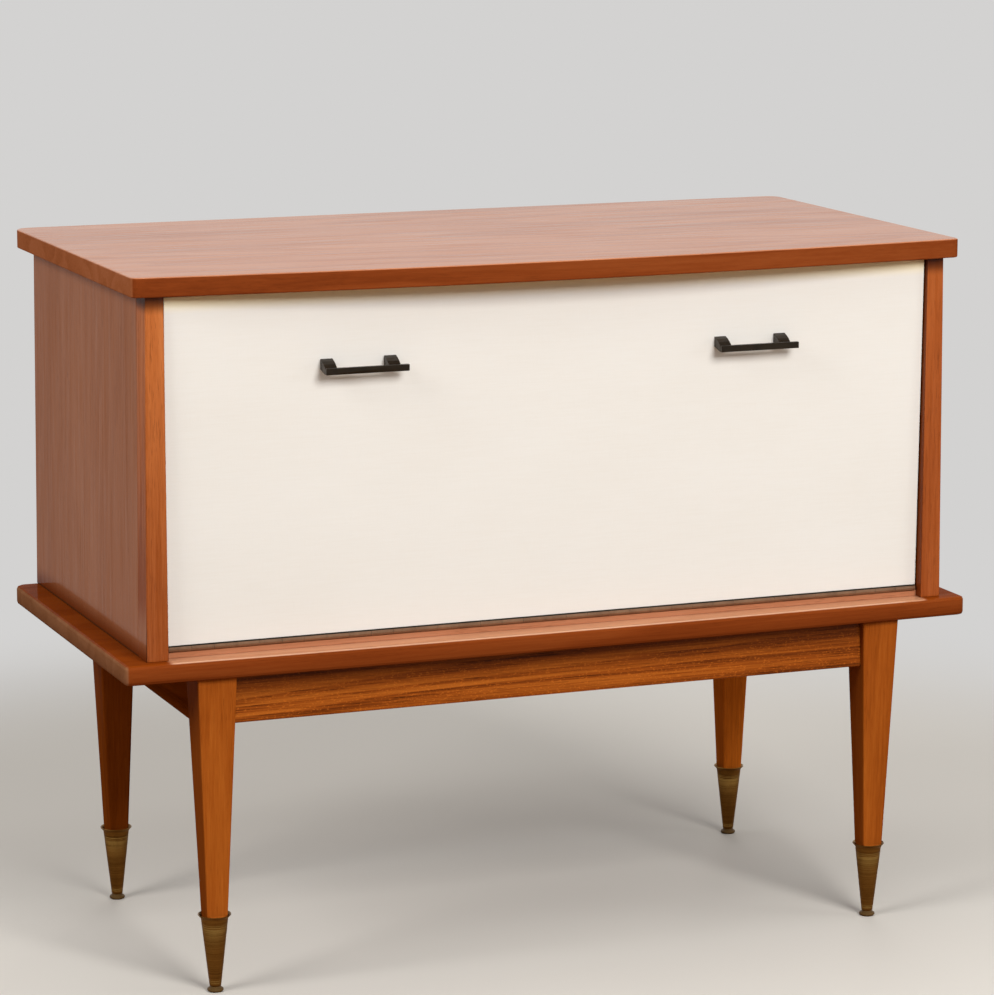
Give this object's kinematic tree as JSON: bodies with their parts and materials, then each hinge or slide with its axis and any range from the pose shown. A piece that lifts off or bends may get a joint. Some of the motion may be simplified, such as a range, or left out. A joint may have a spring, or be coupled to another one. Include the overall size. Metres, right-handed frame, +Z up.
{
  "type": "bar cabinet",
  "caption": "Low bar cabinet with a cream fall flap between tapered sides, on a leg frame with square tapered legs and brass ferrules.",
  "frame": {"origin": "on the floor under the middle of the cabinet", "axes": "+X along the width to the right as seen from the front, +Y to the back, +Z up; the front faces -Y"},
  "size_m": [0.983, 0.5, 0.776],
  "materials": {
    "top_veneer": "satin varnished red-brown veneer, grain along the width",
    "side_veneer": "satin varnished red-brown veneer, grain upright",
    "teak": "satin varnished solid teak",
    "plywood": "raw plywood and softwood",
    "cream_laminate": "cream laminate with a fine linen figure",
    "flap_core": "core board with cream edges",
    "brass": "aged brushed brass",
    "hinge_metal": "dull plated steel",
    "bronze": "dark patinated bronze",
    "glass": "clear float glass with a polished edge",
    "mirror": "silvered glass",
    "glide": "dark hard plastic",
    "catch": "cream moulded plastic"
  },
  "bodies": {
    "carcass": {"top_panel": "top_veneer", "base_panel": "top_veneer", "side_panel_left": "side_veneer", "side_panel_right": "side_veneer", "side_lipping_left": "teak", "side_lipping_right": "teak", "back_panel": "plywood", "sill_rail": "teak", "floor_panel": "cream_laminate", "top_rail": "teak", "mirror": "mirror", "glass_shelf": "glass", "shelf_pin_left_front": "brass", "shelf_pin_left_back": "brass", "shelf_pin_right_front": "brass", "shelf_pin_right_back": "brass", "hinge_leaf_fixed": "hinge_metal", "hinge_pin": "hinge_metal", "catch_left": "catch", "catch_right": "catch", "stay_stud_left": "brass", "stay_stud_right": "brass", "leg_front_left": "teak", "leg_front_right": "teak", "leg_back_left": "teak", "leg_back_right": "teak", "ferrule_front_left": "brass", "ferrule_front_right": "brass", "ferrule_back_left": "brass", "ferrule_back_right": "brass", "glide_front_left": "glide", "glide_front_right": "glide", "glide_back_left": "glide", "glide_back_right": "glide", "apron_front": "teak", "apron_back": "teak", "apron_left": "teak", "apron_right": "teak", "corner_block_front_left": "plywood", "corner_block_front_right": "plywood", "corner_block_back_left": "plywood", "corner_block_back_right": "plywood"},
    "flap": {"flap_front": "cream_laminate", "flap_core": "flap_core", "flap_lining": "cream_laminate", "hinge_leaf_flap": "hinge_metal", "handle_left_bar": "bronze", "handle_left_post_a": "bronze", "handle_left_post_b": "bronze", "handle_right_bar": "bronze", "handle_right_post_a": "bronze", "handle_right_post_b": "bronze", "strike_plate_left": "hinge_metal", "strike_plate_right": "hinge_metal", "stay_bracket_left": "brass", "stay_bracket_right": "brass"},
    "stay_left": {"stay_arm_left": "brass"},
    "stay_right": {"stay_arm_right": "brass"}
  },
  "joints": [
    {"name": "flap_hinge", "type": "hinge", "parent": "carcass", "child": "flap", "pos_m": [0, -0.2057, 0.3797], "axis": [1, 0, 0], "range_deg": [0, 89]},
    {"name": "stay_left_pivot", "type": "hinge", "parent": "flap", "child": "stay_left", "pos_m": [-0.438, -0.18172, 0.53014], "axis": [1, 0, 0], "range_deg": [-44.5, 0]},
    {"name": "stay_right_pivot", "type": "hinge", "parent": "flap", "child": "stay_right", "pos_m": [0.438, -0.18172, 0.53014], "axis": [1, 0, 0], "range_deg": [-44.5, 0]}
  ],
  "couplings": [
    {"joint": "stay_left_pivot", "follows": "flap_hinge", "ratio": -0.5},
    {"joint": "stay_right_pivot", "follows": "flap_hinge", "ratio": -0.5}
  ]
}
